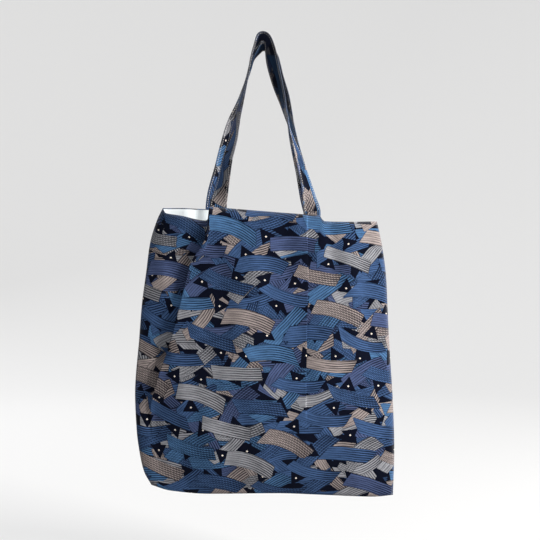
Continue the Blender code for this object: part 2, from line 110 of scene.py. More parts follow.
# Side edges: (height share, sideways share of BODY_WIDTH), bottom to top
LEFT_EDGE_SHARES = (
    (0.0, -0.437), (0.05, -0.466), (0.12, -0.483), (0.20, -0.494), (0.33, -0.500), (0.53, -0.484),
    (0.65, -0.474), (0.77, -0.457), (0.87, -0.443), (0.96, -0.414), (1.0, -0.393),
)
RIGHT_EDGE_SHARES = (
    (0.0, 0.495), (0.17, 0.500), (0.35, 0.494), (0.50, 0.484), (0.64, 0.476), (0.79, 0.469),
    (0.91, 0.453), (1.0, 0.433),
)
MOUTH_LEFT = BODY_SHIFT + BODY_WIDTH * LEFT_EDGE_SHARES[-1][1]
MOUTH_WIDTH = BODY_WIDTH * (RIGHT_EDGE_SHARES[-1][1] - LEFT_EDGE_SHARES[-1][1])

# Bottom edge: (width share, height share), left to right
BOTTOM_SHARES = (
    (0.0, 0.033), (0.08, 0.013), (0.24, 0.002), (0.52, 0.004), (0.72, -0.002), (0.92, -0.008),
    (1.0, -0.002),
)

# Mouth edge: height shares at the straps' outer edges, between which it is taut,
# and (share of the run from the corner to the strap, height share) beside them
TAUT_SHARES = {FRONT: (1.0045, 0.974), BACK: (1.0040, 0.979)}
MOUTH_SHARES = {
    FRONT: {
        "left": ((0.0, 1.004), (0.06, 0.986), (0.40, 0.9755), (0.93, 0.9575), (0.962, 0.9615)),
        "right": ((0.0, 0.957), (0.60, 0.9535), (0.955, 0.9555)),
    },
    BACK: {
        "left": ((0.0, 1.004), (0.50, 1.0065)),
        "right": ((0.0, 0.957), (0.60, 0.9575), (0.94, 0.958)),
    },
}

# How far the front and back stand out: (height share, share of the belly)
DEPTH_SHARES = {
    FRONT: (
        (0.0, 0.0), (0.07, 0.36), (0.20, 0.74), (0.40, 1.0), (0.62, 0.97), (0.84, 0.80),
        (1.0, 0.66),
    ),
    BACK: (
        (0.0, 0.0), (0.07, 0.36), (0.20, 0.74), (0.45, 0.97), (0.70, 0.93), (1.0, 0.86),
    ),
}
SIDE_ROUNDNESS = 0.85
TAUT_FROM_SHARE = 0.78
UPRIGHT_FROM_SHARE = 0.80
SAG_FROM_SHARE = 0.78

# Folds of the front, where the cloth laps over itself. A line is (height share, width
# share), and a depth is (height share, share of full depth).
PLEAT_LINE_SHARES = ((0.0, 0.655), (0.33, 0.66), (1.0, 0.672))
PLEAT_DEPTH_SHARES = (
    (0.0, 0.0), (0.26, 0.0), (0.36, 0.45), (0.50, 0.85), (0.80, 1.0), (0.96, 0.8), (1.0, 0.35),
)
DIAGONAL_LINE_SHARES = (
    (0.0, 0.06), (0.28, 0.06), (0.38, 0.085), (0.60, 0.147), (0.80, 0.182), (0.93, 0.207),
    (1.0, 0.2195),
)
DIAGONAL_DEPTH_SHARES = (
    (0.0, 0.0), (0.18, 0.0), (0.30, 0.4), (0.46, 1.0), (0.70, 0.75), (0.90, 0.9), (1.0, 0.6),
)

# Each fold: its line, its depth, the way it laps, how high the cloth stands before the
# line and how low after it, and how far to each side that reaches
FRONT_FOLDS = (
    (PLEAT_LINE_SHARES, PLEAT_DEPTH_SHARES, 1, 0.0030, 0.0042, 0.021),
    (DIAGONAL_LINE_SHARES, DIAGONAL_DEPTH_SHARES, -1, 0.0050, 0.0072, 0.024),
)
FOLD_SOFTNESS = 0.0008
LINING_SOFTNESS = 0.0010
LAP_REACH = 0.0030
LAP_SHARE = 1.9

# Soft upright ridges: width share, height share of the middle, how far it stands out,
# half width, half height
RIDGES = {
    FRONT: (
        (0.865, 0.72, 0.0030, 0.016, 0.150), (0.775, 0.90, -0.0018, 0.013, 0.075),
        (0.425, 0.52, 0.0020, 0.030, 0.190), (0.290, 0.28, 0.0022, 0.024, 0.110),
        (0.560, 0.24, -0.0016, 0.030, 0.100), (0.040, 0.30, 0.0020, 0.012, 0.120),
    ),
    BACK: (
        (0.145, 0.74, 0.0028, 0.014, 0.140), (0.235, 0.88, -0.0018, 0.012, 0.080),
        (0.470, 0.42, 0.0020, 0.032, 0.180), (0.690, 0.60, -0.0020, 0.022, 0.150),
        (0.845, 0.82, 0.0026, 0.015, 0.110), (0.880, 0.30, 0.0020, 0.024, 0.120),
    ),
}

# The pinch low on the diagonal fold: where it is, how deep, its half sizes and its lean
PINCH_PLACE_SHARES = (0.108, 0.488)
PINCH_DEPTH = 0.0085
PINCH_ACROSS = 0.0060
PINCH_ALONG = 0.0140
PINCH_LEAN = math.radians(28)

# Slack waves of the cloth: (height, wavelength across, wavelength down, phase), and
# how close to the seams they die away
WAVES = {
    FRONT: (
        (0.0009, 0.118, 0.62, 0.4), (0.0006, 0.071, -0.31, 2.1), (0.0005, 0.160, 0.145, 4.4),
        (0.00025, 0.034, 0.21, 1.2),
    ),
    BACK: (
        (0.0010, 0.131, -0.55, 1.9), (0.0006, 0.083, 0.27, 0.7), (0.0005, 0.190, -0.160, 3.3),
        (0.00025, 0.039, 0.18, 2.6),
    ),
}
WAVE_FADE = 0.030

# Gathers beside the seams: two waves, of which the second is lower and longer
SEAM_PUCKER = 0.00045
SEAM_PUCKER_LENGTH = 0.0135
SEAM_PUCKER_REACH = 0.010
SECOND_PUCKER_SHARE = 0.6
SECOND_PUCKER_STRETCH = 1.618

# Strap arms, mouth to bight: (height share, reach share of the attachment)
ARM_SHARES = {
    FRONT: {
        "left": (
            (0.15, 0.885), (0.27, 0.80), (0.40, 0.665), (0.52, 0.575), (0.62, 0.48), (0.775, 0.335),
            (0.865, 0.265), (0.93, 0.190),
        ),
        "right": (
            (0.10, 0.945), (0.20, 0.86), (0.33, 0.725), (0.45, 0.585), (0.56, 0.475), (0.64, 0.405),
            (0.75, 0.292), (0.85, 0.205), (0.93, 0.150),
        ),
    },
    BACK: {
        "left": (
            (0.10, 0.96), (0.24, 0.85), (0.38, 0.755), (0.52, 0.645), (0.66, 0.465), (0.775, 0.345),
            (0.87, 0.246), (0.93, 0.186),
        ),
        "right": (
            (0.13, 0.895), (0.26, 0.785), (0.38, 0.68), (0.48, 0.605), (0.60, 0.54), (0.69, 0.475),
            (0.80, 0.352), (0.88, 0.285), (0.93, 0.235),
        ),
    },
}

# Twist of the arms: (height share, degrees). At 90 a strap is edge on to the
# front, and at the mouth it lies flat against its panel.
TWISTS = {
    FRONT: {
        "left": (
            (0, 180), (0.05, 166), (0.15, 140), (0.4, 125), (0.62, 110), (0.865, 93), (0.93, 90),
            (1, 75),
        ),
        "right": (
            (0, 180), (0.03, 172), (0.09, 146), (0.2, 128), (0.32, 117), (0.45, 100), (0.56, 84),
            (0.75, 55), (0.86, 48), (0.93, 56), (1, 75),
        ),
    },
    BACK: {
        "left": (
            (0, 0), (0.1, 16), (0.24, 36), (0.38, 50), (0.52, 65), (0.66, 80), (0.8, 90),
            (0.93, 88), (1, 75),
        ),
        "right": (
            (0, 0), (0.05, 9), (0.13, 31), (0.26, 52), (0.4, 63), (0.6, 72), (0.8, 64), (0.9, 64),
            (1, 75),
        ),
    },
}

# Section of a strap, from the middle of its outward face to its edge: (share of the half
# width, share of the half thickness). It has four layers, drawn in at the stitching. The
# cloth is folded at the left edge, and its turned-in edges meet in a groove at the right.
STRAP_SECTION_SHARES = (
    (0.0, 1.0), (0.35, 1.0), (0.64, 0.97), (0.725, 0.86), (0.775, 0.74), (0.825, 0.84),
    (0.92, 0.80), (0.975, 0.55), (1.0, 0.22),
)
STRAP_GROOVE_SHARES = (0.975, 0.0)
STRAP_FOLD_SHARES = (-1.0, 0.0)
STRAP_STITCH_PLACE_SHARE = 0.775
STRAP_STITCH_FACE_SHARE = 0.74
STRAP_PUCKER = 0.00012
STRAP_PUCKER_REACH_SHARE = 0.09
WEAR_REACH = 0.0020

# Painted shade on the straps about the bend over the hook: how dark it makes them, and how
# far below the hang point it is whole, and gone
PAINTED_SHADE_SHARE = 0.68
PAINTED_SHADE_FROM = 0.060
PAINTED_SHADE_TO = 0.150

# Threads. A ring of a stitch is (share of its length, share of the thread's radius).
STITCH_PITCH = 0.0034
STITCH_LENGTH = 0.0026
PALE_THREAD_RADIUS = 0.00038
DARK_THREAD_RADIUS = 0.00018
STITCH_SIDES = 6
STITCH_RING_SHARES = ((0.06, 0.55), (0.28, 0.95), (0.5, 1.0), (0.72, 0.95), (0.94, 0.55))
STITCH_SINK_SHARE = 0.35
STITCH_RISE_SHARE = 1.6
STITCH_FREE_STATIONS = 2
MOUTH_STITCH_DROP = 0.0035
SEAM_STITCH_INSET = 0.0006

# Side and bottom seams: the CAD's node, and which way is out, in X and Z
SEAMS = {
    "left": ("side_seam_left", -1, 0),
    "right": ("side_seam_right", 1, 0),
    "bottom": ("bottom_seam", 0, -1),
}

# How the front half bends away from the side seams when the mouth opens
BEND_START_INSET = 0.004
BEND_END_GAP = 0.006
STRAP_BEND = 0.018

# Colours, linear
NAVY_GROUND = (0.0018, 0.0029, 0.0089, 1)
DENIM_BLUE = (0.052, 0.104, 0.231, 1)
SLATE_BLUE = (0.070, 0.098, 0.208, 1)
BRIGHT_BLUE = (0.070, 0.162, 0.325, 1)
TAUPE = (0.350, 0.296, 0.282, 1)
WARM_GREY = (0.318, 0.322, 0.350, 1)
IVORY = (0.80, 0.72, 0.64, 1)
LINING_WHITE = (0.735, 0.775, 0.795, 1)
PALE_THREAD = (0.60, 0.57, 0.54, 1)
DARK_THREAD = (0.012, 0.016, 0.032, 1)
STUDIO_PALE = (0.26, 0.26, 0.26, 1)
STUDIO_SEEN = (0.90, 0.90, 0.90, 1)

# Print: overlapping layers of hatched bars, the last on top. Each has its turn in
# degrees, the width and height of the cell that holds one bar, and its shift.
BAR_LAYERS = (
    (6, 0.084, 0.0380, 0.000, 0.000),
    (43, 0.086, 0.0400, 0.013, 0.017),
    (-8, 0.084, 0.0380, 0.041, 0.009),
    (-41, 0.091, 0.0420, 0.021, 0.030),
    (11, 0.089, 0.0420, 0.033, 0.012),
)
BAR_HALF_LENGTH = 0.0365
BAR_HALF_WIDTH = 0.0104
BAR_WIDTH_SPREAD = 0.0040
BAR_TURN_SPREAD = math.radians(26)
BAR_JITTER = 0.007
BAR_BOW = 12.5
BAR_SLANT = 0.85
BAR_OUTLINE = 0.0005
BAR_LAYER_SEED = 0.5

# Colour of a bar, by its random pick: (from this pick on, colour)
BAR_COLOURS = (
    (0.0, DENIM_BLUE),
    (0.22, TAUPE),
    (0.39, SLATE_BLUE),
    (0.52, WARM_GREY),
    (0.69, BRIGHT_BLUE),
    (0.84, DENIM_BLUE),
)

# Lines on the bars: wider towards one end of a bar, and crossed by a lattice on some
HATCH_PITCH = 0.0034
HATCH_LEAST_SHARE = 0.12
HATCH_GROWTH_SHARE = 0.50
HATCH_GROWTH_POWER = 1.5
HATCH_DARK_SHARE = 0.84
LATTICE_PITCH = 0.0027
LATTICE_FILL_SHARE = 0.28
LATTICE_SLANT = 0.6
LATTICE_FROM_PICK = 0.70
SECOND_PICK_FACTOR = 17.3

# Streaks of the ground in the bars, and the wobble of a hand-drawn print
STREAK_SCALE = 620.0
STREAK_STRETCH = 0.09
STREAK_TONE = (1.3, -0.42)
HAND_WOBBLE = 0.0020
HAND_WOBBLE_SCALE = 45.0

# The dark triangles under the topmost bars, in most cells, each with a pale speck
TRIANGLE_CELL = (0.0430, 0.0365)
TRIANGLE_RADIUS = 0.0072
TRIANGLE_JITTER = 0.012
TRIANGLE_SHARE = 0.86
SPECK_HALF = 0.0016
SPECK_DROP = 0.0010

# Cloth and thread. A tone is how much it varies with its noise or weave, and what it is
# without them. A bump is its height in metres and its strength.
YARN_PITCH = 0.00062
SLUB_SCALE = 900.0
SLUB_STRETCH = 0.12
FINE_DETAIL = 3.0
CREASE_DETAIL = 4.0
CREASE_ROUGHNESS = 0.6
CLOTH_SPECULAR = 0.05
SHEEN_ROUGHNESS = 0.45
PRINTED_CLOTH = {
    "roughness": 0.9,
    "sheen": 0.012,
    "slub_tone": (0.30, 0.74),
    "weave_tone": (0.16, 0.90),
    "crease_scale": 42.0,
    "crease_bump": (0.0012, 0.35),
    "weave_bump": (0.00012, 0.5),
}
LINING_CLOTH = {
    "roughness": 0.88,
    "sheen": 0.08,
    "slub_tone": (0.10, 0.93),
    "weave_tone": (0.06, 0.96),
    "crease_scale": 30.0,
    "crease_bump": (0.0015, 0.4),
    "weave_bump": (0.0001, 0.4),
}
FADE_SHARE = 0.22
FADE_SCALE = 9.0
RUB_TONE = (0.5, -0.05)
THREAD_ROUGHNESS = 0.6
THREAD_SHEEN = 0.2
FIBRE_SCALE = 2600.0
FIBRE_TONE = (0.5, 0.72)
FIBRE_BUMP = (0.0001, 0.4)

# Where on the printed cloth each piece is cut, and the column that it is measured from,
# in fifths of the width
PRINT_SHIFTS = {FRONT: (2.60, 0.35), BACK: (0.517, 0.231)}
STRAP_PRINT_SHIFTS = {FRONT: (2.82, 0.9), BACK: (3.74, 2.58)}
MEASURED_COLUMN_FIFTHS = 2

# Camera: the photograph's width, and what one of its pixels shows at the hang point
PHOTO_PIXELS = 540
PIXEL_SIZE = 0.00148
CAMERA_DISTANCE = 1.05
CAMERA_X = 0.0111
CAMERA_Z = -0.3374
SENSOR_WIDTH_MM = 36

# Studio
FLOOR_Z = -0.80
STUDIO_RADIUS = 3.4
STUDIO_CURVE = 1.6
STUDIO_TOP = 2.6
CURVE_SEGMENTS = 14
ROUND_SEGMENTS = 96
STUDIO_GLOW = 0.66
WORLD_LIGHT = 0.29
WORLD_SEEN = 0.92
WORLD_COLOUR = (0.95, 0.97, 1.0, 1)
STUDIO_ROUGHNESS = 0.9
STUDIO_TONE_SCALE = 3.0
STUDIO_TONE = (0.01, 0.995)
LAMP_TARGET = (0.0, 0.0, -0.35)

# Lamps: place, size, watts and colour
LAMPS = {
    "key": ((1.9, -0.9, 0.35), 0.6, 105, (1.0, 0.98, 0.95)),
    "fill": ((-0.6, -2.2, 0.2), 1.6, 13, (0.97, 0.985, 1.0)),
    "rear": ((-1.3, 1.3, 0.9), 1.2, 38, (1.0, 1.0, 1.0)),
}


# Reading the tables

def mean_rise(before, after):
    if before * after <= 0:
        return 0.0
    return 2 * before * after / (before + after)


def smooth_read(table, at):
    """The table's value here, on a cubic through its points that never overshoots."""
    places, values = zip(*table)
    if at <= places[0]:
        return values[0]
    if at >= places[-1]:
        return values[-1]
    rises = [(d - b) / (c - a) for (a, b), (c, d) in zip(table, table[1:])]
    k = bisect_right(places, at) - 1
    start = mean_rise(rises[k - 1], rises[k]) if k > 0 else rises[k]
    end = mean_rise(rises[k], rises[k + 1]) if k < len(rises) - 1 else rises[k]
    step = places[k + 1] - places[k]
    t = (at - places[k]) / step
    return (
        (2 * t**3 - 3 * t**2 + 1) * values[k]
        + (t**3 - 2 * t**2 + t) * step * start
        + (3 * t**2 - 2 * t**3) * values[k + 1]
        + (t**3 - t**2) * step * end
    )


def smooth_step(t):
    t = min(max(t, 0), 1)
    return t * t * (3 - 2 * t)


# Shape of the cloth

def height(share):
    return -HANG_DROP - (1 - share) * BODY_HEIGHT


def mouth_share(x):
    """The width share of this X along the mouth."""
    return (x - MOUTH_LEFT) / MOUTH_WIDTH


def taut_run(side):
    """Width shares at the straps' outer edges. Between them the mouth is taut."""
    places = ATTACH_PLACES[side]
    half = STRAP_WIDTH / 2
    return mouth_share(places["left"] - half), mouth_share(places["right"] + half)


def mouth_height(side, u):
    """Height share of the mouth edge at this width share."""
    start, end = taut_run(side)
    low, high = TAUT_SHARES[side]
    if u < start:
        return smooth_read(MOUTH_SHARES[side]["left"] + ((1.0, low),), u / start)
    if u > end:
        return smooth_read(MOUTH_SHARES[side]["right"] + ((1.0, high),), (1 - u) / (1 - end))
    return low + (high - low) * (u - start) / (end - start)


def over_tail(side, u, v):
    """1 where a strap end lies under the cloth, falling to 0 beside and below it."""
    most = 0.0
    for middle in ATTACH_PLACES[side].values():
        sideways = abs(u - mouth_share(middle)) * MOUTH_WIDTH - STRAP_WIDTH / 2
        below = (1 - v) * BODY_HEIGHT - TAIL_LENGTH
        most = max(most, 1 - (max(sideways, 0) + max(below, 0)) / TAIL_FALLOFF)
    return smooth_step(most)


def lens(side, u, v):
    """How the cloth stands out across the bag, from 0 at the side seams to 1."""
    body = math.sin(math.pi * min(max(u, 0), 1)) ** SIDE_ROUNDNESS
    start, end = taut_run(side)
    nearest = min(u / start, (1 - u) / (1 - end), 1)
    mouth = math.sin(math.pi / 2 * max(nearest, 0)) ** SIDE_ROUNDNESS
    return body + (mouth - body) * smooth_step((v - TAUT_FROM_SHARE) / (1 - TAUT_FROM_SHARE))


def cloth_x(side, u, v):
    """X at these shares. Between the strap ends the cloth hangs upright."""
    left = smooth_read(LEFT_EDGE_SHARES, v) - LEFT_EDGE_SHARES[-1][1]
    right = smooth_read(RIGHT_EDGE_SHARES, v) - RIGHT_EDGE_SHARES[-1][1]
    start, end = taut_run(side)
    upright_to = 1 - TAIL_LENGTH / BODY_HEIGHT
    upright = smooth_step((v - UPRIGHT_FROM_SHARE) / (upright_to - UPRIGHT_FROM_SHARE))
    with_left = (1 - upright) * (1 - u) + upright * max(0, 1 - u / start)
    with_right = (1 - upright) * u + upright * max(0, (u - end) / (1 - end))
    return MOUTH_LEFT + MOUTH_WIDTH * u + BODY_WIDTH * (left * with_left + right * with_right)


def cloth_width(v):
    return BODY_WIDTH * (smooth_read(RIGHT_EDGE_SHARES, v) - smooth_read(LEFT_EDGE_SHARES, v))


def cloth_z(side, u, v):
    """Z at these shares. The sags and steps of the mouth edge die away below it."""
    foot = smooth_read(BOTTOM_SHARES, u)
    plain = mouth_height(side, 0) * (1 - u) + mouth_height(side, 1) * u
    near = smooth_step((v - SAG_FROM_SHARE) / (1 - SAG_FROM_SHARE))
    return height(foot + (plain - foot) * v + (mouth_height(side, u) - plain) * near)


def seam_distance(u, v):
    """From the nearest side or bottom seam."""
    width = cloth_width(v)
    return max(0, min(u * width, (1 - u) * width, v * BODY_HEIGHT))


def lap(across, high, low, reach):
    """Outward step of a lapped fold: high before its line, low after it."""
    after = 0.5 + 0.5 * math.tanh(across / FOLD_SOFTNESS)
    return (high * (1 - after) - low * after) * math.exp(-abs(across) / reach)


def lap_shift(across):
    """Sideways shift that carries a fold's edge over the cloth beside it."""
    return -LAP_SHARE * across * math.exp(-((across / LAP_REACH) ** 2))


def pinch(u, v):
    """How far the pinch draws the cloth in."""
    dx = (u - PINCH_PLACE_SHARES[0]) * cloth_width(v)
    dz = (v - PINCH_PLACE_SHARES[1]) * BODY_HEIGHT
    lean_x = (dx * math.cos(PINCH_LEAN) - dz * math.sin(PINCH_LEAN)) / PINCH_ACROSS
    lean_z = (dx * math.sin(PINCH_LEAN) + dz * math.cos(PINCH_LEAN)) / PINCH_ALONG
    return PINCH_DEPTH * math.exp(-(lean_x**2) - lean_z**2)


def folds(u, v, is_lining):
    """How the front's folds move the cloth, sideways and outwards. The lining only sinks."""
    sunk = 1 - over_tail(FRONT, u, v)
    width = cloth_width(v)
    sideways = out = 0.0
    for line, depths, way, high, low, reach in FRONT_FOLDS:
        across = way * (u - smooth_read(line, v)) * width
        depth = smooth_read(depths, v)
        if is_lining:
            out -= depth * sunk * low * math.exp(-math.hypot(across, LINING_SOFTNESS) / reach)
            continue
        out += depth * lap(across, high, low * sunk, reach)
        sideways += way * depth * sunk * lap_shift(across)
    return sideways, out - pinch(u, v)


def ridges(side, u, v):
    """How the soft ridges move the cloth outwards."""
    out = 0.0
    for middle_u, middle_v, size, half_width, half_height in RIDGES[side]:
        dx = (u - middle_u) * cloth_width(v) / half_width
        dz = (v - middle_v) * BODY_HEIGHT / half_height
        out += size * math.exp(-(dx**2) - dz**2)
    return out


def waves(side, x, z):
    """Slack waves of the cloth."""
    total = 0.0
    for size, across, down, phase in WAVES[side]:
        total += size * math.sin(math.tau * (x / across + z / down) + phase)
    return total


def pucker(along, distance):
    """The small gathers beside a seam."""
    wave = math.sin(math.tau * along / SEAM_PUCKER_LENGTH)
    second = math.tau * along / (SEAM_PUCKER_LENGTH * SECOND_PUCKER_STRETCH)
    wave += SECOND_PUCKER_SHARE * math.sin(second)
    return SEAM_PUCKER * wave * math.exp(-distance / SEAM_PUCKER_REACH)


def cloth_point(side, u, v, is_lining=False):
    """A point of the cloth, at these shares of its width and height."""
    x, z = cloth_x(side, u, v), cloth_z(side, u, v)
    away = seam_distance(u, v)
    out = BELLY[side] * smooth_read(DEPTH_SHARES[side], v) * lens(side, u, v)
    fade = smooth_step(away / WAVE_FADE)
    tail = over_tail(side, u, v)
    out += waves(side, x, z) * fade * (1 - tail)
    near = smooth_step(away / FOLD_OFFSETS[-1])
    out += ridges(side, u, v) * near * (1 - tail)
    if side == FRONT:
        fold_x, fold_out = folds(u, v, is_lining)
        x += fold_x * near
        out += fold_out * near
    out += EDGE_HALF + EDGE_ROLL * (1 - math.exp(-away / EDGE_ROLL_REACH))
    if is_lining:
        out -= LINING_SINK + (STRAP_THICKNESS + CLOTH_GAP) * tail
    else:
        along = x if v * BODY_HEIGHT < min(u, 1 - u) * BODY_WIDTH else z
        out += OUTER_LIFT * smooth_step(away / EDGE_ROLL_REACH) + pucker(along, away) * fade
        drop = (1 - v) * BODY_HEIGHT
        out -= MOUTH_ROLL * math.exp(-drop / MOUTH_ROLL_REACH)
    return Vector((x, side * out, z))


# Points and meshes

def distances(points):
    """How far along the points each of them lies."""
    gone = [0.0]
    for a, b in zip(points, points[1:]):
        gone.append(gone[-1] + (b - a).length)
    return gone


def chord(points, n):
    """From the point before this one to the point after it."""
    return points[min(n + 1, len(points) - 1)] - points[max(n - 1, 0)]


def path_reader(path):
    """A reader of the path's vectors at a distance along it, and the path's length."""
    gone = distances([point for point, *_ in path])

    def read(at):
        k = min(max(bisect_left(gone, at) - 1, 0), len(path) - 2)
        share = (at - gone[k]) / max(gone[k + 1] - gone[k], SHORTEST_STEP)
        return [a.lerp(b, share) for a, b in zip(path[k], path[k + 1])]

    return read, gone[-1]


def new_object(name, data):
    obj = bpy.data.objects.new(name, data)
    bpy.context.scene.collection.objects.link(obj)
    return obj


def mesh_object(name, shape, material):
    mesh = bpy.data.meshes.new(name)
    shape.to_mesh(mesh)
    shape.free()
    mesh.materials.append(material)
    return new_object(name, mesh)


def join_rings(shape, low, high):
    """Smooth faces between two rings that have the same count of points."""
    faces = []
    for n in range(len(low)):
        m = (n + 1) % len(low)
        faces.append(shape.faces.new([low[n], low[m], high[m], high[n]]))
        faces[-1].smooth = True
    return faces


# Sheets of cloth

def spread(length, near_start, near_end):
    """Shares of a run, closer together near the ends that are folds."""
    places = [0.0, length]
    places += [off for off in FOLD_OFFSETS if near_start]
    places += [length - off for off in FOLD_OFFSETS if near_end]
    places.sort()
    filled = [places[0]]
    for place in places[1:]:
        start = filled[-1]
        steps = max(1, round((place - start) / COLUMN_STEP))
        filled += [start + (place - start) * n / steps for n in range(1, steps + 1)]
    return [place / length for place in filled]


def table_line(table):
    return lambda v: smooth_read(table, v)


def between_lines(low, high, share):
    return lambda v: low(v) + (high(v) - low(v)) * share


def column_lines(side):
    """Columns as functions of the height share, and the run of them in each piece."""
    lines = [lambda v: 0.0]
    if side == FRONT:
        lines += [table_line(DIAGONAL_LINE_SHARES), table_line(PLEAT_LINE_SHARES)]
    lines.append(lambda v: 1.0)
    columns = [lines[0]]
    for k in range(len(lines) - 1):
        pleat = len(columns) - 1
        length = (lines[k + 1](1) - lines[k](1)) * MOUTH_WIDTH
        for share in spread(length, k > 0, k < len(lines) - 2)[1:]:
            columns.append(between_lines(lines[k], lines[k + 1], share))
    if side == BACK:
        return columns, {"whole": slice(None)}
    return columns, {"left": slice(None, pleat + 1), "right": slice(pleat, None)}


def row_places():
    count = round(BODY_HEIGHT / ROW_STEP)
    return [n / count for n in range(count + 1)]


def sheet_points(side, columns, is_lining):
    """Rows of points, bottom to top. The lining stops short of the outer's edges."""
    inset = LINING_INSET if is_lining else 0
    drop = LINING_DROP if is_lining else 0
    rows = []
    for v in row_places():
        at = v + (inset * (1 - v) - drop * v) / BODY_HEIGHT
        edge = inset / cloth_width(v)
        shares = [edge + column(v) * (1 - 2 * edge) for column in columns]
        rows.append([cloth_point(side, u, at, is_lining) for u in shares])
    return rows


def flat_places(points):
    """Where each point lies on the flat cloth, measured from a column near the middle."""
    middle = len(points[0]) * MEASURED_COLUMN_FIFTHS // 5
    grid = []
    for row, up in zip(points, distances([row[middle] for row in points])):
        gone = distances(row)
        grid.append([(place - gone[middle] + row[middle].x, up) for place in gone])
    return grid


def edge_wear(points):
    """How worn the cloth is at each point: most at the mouth and side edges."""
    grid = []
    for row in points:
        line = []
        for point, top in zip(row, points[-1]):
            away = min((point - edge).length for edge in (row[0], row[-1], top))
            line.append(math.exp(-away / WEAR_REACH))
        grid.append(line)
    return grid


def new_sheet(name, side, points, places, wear, thickness, material):
    """A sheet through the points, with its flat places and its wear, facing out of the bag."""
    shape = bmesh.new()
    flat = shape.loops.layers.uv.new("cloth")
    worn = shape.verts.layers.float.new("wear")
    verts = []
    for row, levels in zip(points, wear):
        verts.append([shape.verts.new(point) for point in row])
        for vert, level in zip(verts[-1], levels):
            vert[worn] = level
    for r in range(len(points) - 1):
        for c in range(len(points[0]) - 1):
            corners = [(r, c), (r, c + 1), (r + 1, c + 1), (r + 1, c)]
            if side == BACK:
                corners.reverse()
            face = shape.faces.new([verts[i][k] for i, k in corners])
            face.smooth = True
            for loop, (i, k) in zip(face.loops, corners):
                loop[flat].uv = places[i][k]
    # The sheet's borders are sharp, so that two pieces that meet are shaded as one
    for edge in shape.edges:
        edge.smooth = not edge.is_boundary
    obj = mesh_object(name, shape, material)
    solid = obj.modifiers.new("thickness", "SOLIDIFY")
    solid.thickness = thickness
    solid.offset = 0
    solid.use_even_offset = True
    return obj


# Straps

def strap_end(side, middle):
    """The middle of a strap's thickness at the mouth edge."""
    u = mouth_share(middle)
    out = EDGE_HALF + EDGE_ROLL + BELLY[side] * DEPTH_SHARES[side][-1][1] * lens(side, u, 1)
    out -= CLOTH_GAP + STRAP_THICKNESS / 2
    return Vector((cloth_x(side, u, 1), side * out, cloth_z(side, u, 1)))


def strap_ends(side):
    return [strap_end(side, middle) for middle in ATTACH_PLACES[side].values()]


def strap_up(side):
    """At right angles to the taut run of the mouth."""
    left, right = strap_ends(side)
    return ACROSS.cross((right - left).normalized())


def bight_middle(side):
    """The top of the strap's middle line."""
    out = side * BIGHT_SPACING / 2
    return Vector((BIGHT_PLACE[side], out, -out * math.tan(BIGHT_SLOPE) + STRAP_THICKNESS / 2))


def arm_points(side, end, straight, shares):
    """A strap arm's middle line, from the mouth up to its bight."""
    up = strap_up(side)
    start = end + up * STRAP_CLEARANCE
    points = [start, start + up * straight]
    top = bight_middle(side)
    for high, reach in shares:
        y = end.y + (top.y - end.y) * smooth_step(high)
        points.append(Vector((end.x * reach, y, end.z + (top.z - end.z) * high)))
    return points


def bight_points(side):
    """The bend over the rest, left to right."""
    top = bight_middle(side)
    radius = BIGHT_RADIUS + STRAP_THICKNESS / 2
    points = []
    for n in range(BIGHT_STEPS):
        angle = BIGHT_REACH * (2 * n / (BIGHT_STEPS - 1) - 1)
        points.append(top + Vector((radius * math.sin(angle), 0, radius * (math.cos(angle) - 1))))
    return points


def smooth_line(points):
    """A smooth curve through the points, finely stepped."""
    padded = [2 * points[0] - points[1]] + points + [2 * points[-1] - points[-2]]
    line = []
    for a, b, c, d in zip(padded, padded[1:], padded[2:], padded[3:]):
        for n in range(CURVE_STEPS):
            line.append(curve_between(a, b, c, d, n / CURVE_STEPS))
    return line + [points[-1]]


def curve_between(a, b, c, d, t):
    """Centripetal Catmull-Rom from b to c."""
    knots = [0.0]
    for p, q in ((a, b), (b, c), (c, d)):
        knots.append(knots[-1] + math.sqrt((q - p).length))
    at = knots[1] + (knots[2] - knots[1]) * t

    def between(p, q, low, high):
        return p.lerp(q, (at - knots[low]) / (knots[high] - knots[low]))

    ab, bc, cd = between(a, b, 0, 1), between(b, c, 1, 2), between(c, d, 2, 3)
    return between(between(ab, bc, 0, 2), between(bc, cd, 1, 3), 1, 2)


def tail_line(side, middle):
    """The sewn-in strap end, between outer and lining, from its foot to the mouth."""
    top = strap_end(side, middle)
    u = mouth_share(middle)
    line = []
    for n in range(TAIL_STEPS):
        drop = TAIL_LENGTH * (1 - n / TAIL_STEPS)
        inner = cloth_point(side, u, 1 - drop / BODY_HEIGHT, True)
        y = inner.y + side * (LINING_THICKNESS / 2 + CLOTH_GAP / 2 + STRAP_THICKNESS / 2)
        share = 1 - drop / TAIL_LENGTH
        line.append(Vector((inner.x, y + (top.y - y) * share**2, inner.z)))
    return line


def strap_frames(side):
    """(middle, width direction, outward direction) finely along one strap, left end to right."""
    ends, arms, tails = {}, {}, {}
    for name, place in ATTACH_PLACES[side].items():
        ends[name] = strap_end(side, place)
        arms[name] = arm_points(side, ends[name], STRAP_STRAIGHTS[name], ARM_SHARES[side][name])
        tails[name] = tail_line(side, place)
    middles = smooth_line(arms["left"] + bight_points(side) + arms["right"][::-1])
    middles = tails["left"] + middles + tails["right"][::-1]
    frames = []
    for n, middle in enumerate(middles):
        along = chord(middles, n).normalized()
        arm = "left" if middle.x < 0 else "right"
        climbed = (middle.z - ends[arm].z) / (bight_middle(side).z - ends[arm].z)
        twist = math.radians(smooth_read(TWISTS[side][arm], climbed))
        width = Vector((-along.z, 0, along.x)) * math.cos(twist) + ACROSS * math.sin(twist)
        width = (width - along * width.dot(along)).normalized()
        frames.append((middle, width, width.cross(along)))
    return frames


